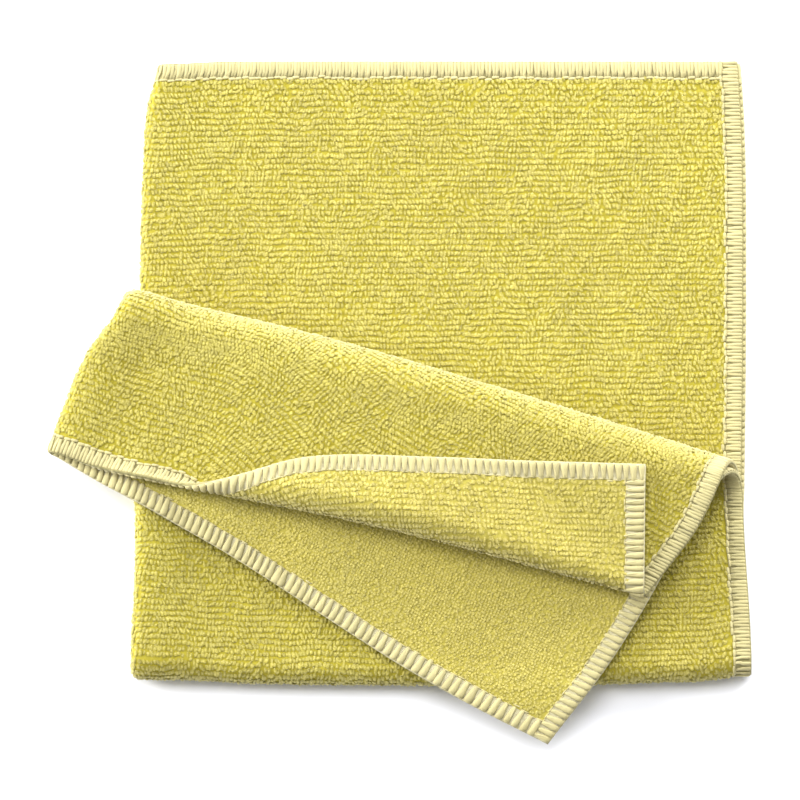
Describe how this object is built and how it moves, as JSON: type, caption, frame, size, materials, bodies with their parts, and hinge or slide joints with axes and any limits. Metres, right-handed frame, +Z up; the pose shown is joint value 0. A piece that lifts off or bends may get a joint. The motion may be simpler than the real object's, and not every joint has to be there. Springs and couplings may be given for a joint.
{
  "type": "folded microfibre cloth",
  "caption": "Square terry-loop microfibre cleaning cloth with an overlocked edge, folded flat with its top layers turned back in a soft flap and a curled edge strip.",
  "frame": {"origin": "on the surface that the cloth lies on, under the middle of its outline", "axes": "+Z up from the surface, +X from the left fold towards the hems, +Y from the front fold towards the back hem"},
  "size_m": [0.2246, 0.2254, 0.0329],
  "materials": {
    "microfibre": "yellow terry loop pile, matte"
  },
  "bodies": {
    "root": {"cloth": "microfibre"}
  },
  "joints": []
}
